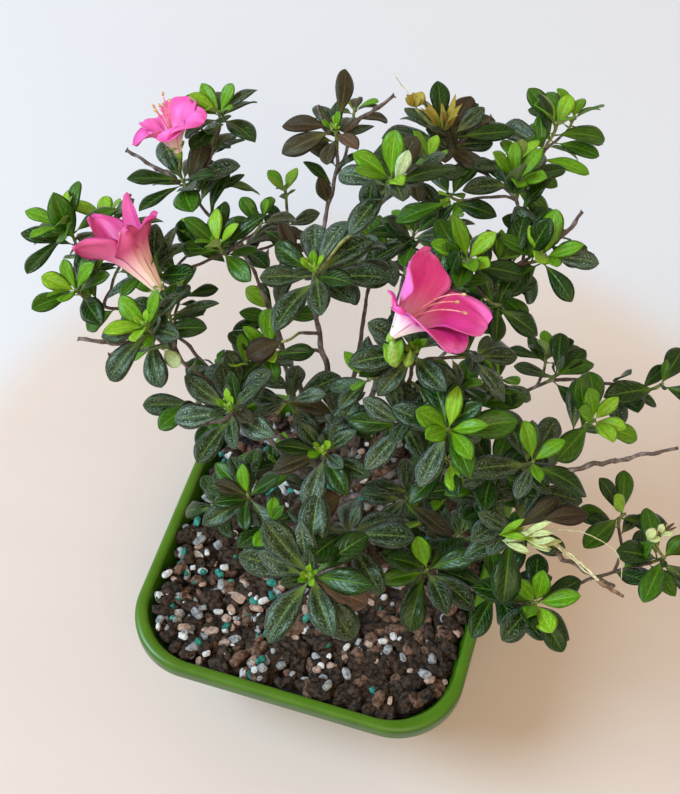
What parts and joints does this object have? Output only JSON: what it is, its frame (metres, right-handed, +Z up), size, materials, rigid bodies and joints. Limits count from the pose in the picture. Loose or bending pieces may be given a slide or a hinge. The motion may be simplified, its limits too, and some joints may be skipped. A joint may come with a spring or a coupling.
{
  "type": "potted azalea bonsai",
  "caption": "Small azalea bonsai in flower, its leaning trunk and whorled crown standing in a square glazed pot of mixed soil.",
  "frame": {"origin": "centre of the pot's flat underside, where it stands", "axes": "+Z up out of the pot, X and Y square to the pot's sides, with -Y towards the side that shows most soil"},
  "size_m": [0.2994, 0.2335, 0.2929],
  "materials": {
    "glaze": "glossy moss-green glaze",
    "soil": "damp dark bark chips with white, tan and green grains",
    "bark": "thin rough bark, grey to reddish brown",
    "old_leaf": "leaves, dark green and hairy",
    "young_leaf": "leaves, fresh yellow green"
  },
  "bodies": {
    "root": {"bough_back_left": "bark", "bough_back_left_low": "bark", "bough_back_low": "bark", "bough_back_right": "bark", "bough_back_top": "bark", "bough_centre_right": "bark", "bough_front": "bark", "bough_front_right": "bark", "bough_front_upper": "bark", "bough_leader": "bark", "bough_left": "bark", "bough_left_front": "bark", "bough_low_left": "bark", "bough_right": "bark", "bough_right_upper": "bark", "leaves_back_inner": "old_leaf", "leaves_back_left_bloom": "old_leaf", "leaves_back_left_inner": "old_leaf", "leaves_back_left_low": "old_leaf", "leaves_back_left_tip": "young_leaf", "leaves_back_left_wisp": "young_leaf", "leaves_back_low": "old_leaf", "leaves_back_right_low": "old_leaf", "leaves_back_right_tip": "young_leaf", "leaves_back_right_top": "young_leaf", "leaves_back_top": "old_leaf", "leaves_centre": "old_leaf", "leaves_centre_bloom": "old_leaf", "leaves_front_right_bloom": "old_leaf", "leaves_front_right_inner": "old_leaf", "leaves_front_right_low": "young_leaf", "leaves_front_tip": "old_leaf", "leaves_front_upper": "old_leaf", "leaves_inner_left": "old_leaf", "leaves_inner_right": "old_leaf", "leaves_left_bloom": "old_leaf", "leaves_left_front_inner": "old_leaf", "leaves_left_front_tip": "young_leaf", "leaves_left_inner": "young_leaf", "leaves_left_low": "young_leaf", "leaves_left_tip": "young_leaf", "leaves_left_under": "old_leaf", "leaves_low_left": "old_leaf", "leaves_right_back_low": "old_leaf", "leaves_right_back_tip": "old_leaf", "leaves_right_far_tip": "old_leaf", "leaves_right_middle": "young_leaf", "leaves_right_shoulder": "young_leaf", "leaves_right_tip": "old_leaf", "leaves_right_top": "young_leaf", "leaves_right_top_inner": "young_leaf", "leaves_right_upper": "young_leaf", "leaves_top": "young_leaf", "leaves_top_left": "old_leaf", "pot": "glaze", "soil": "soil", "trunk": "bark"}
  },
  "joints": []
}
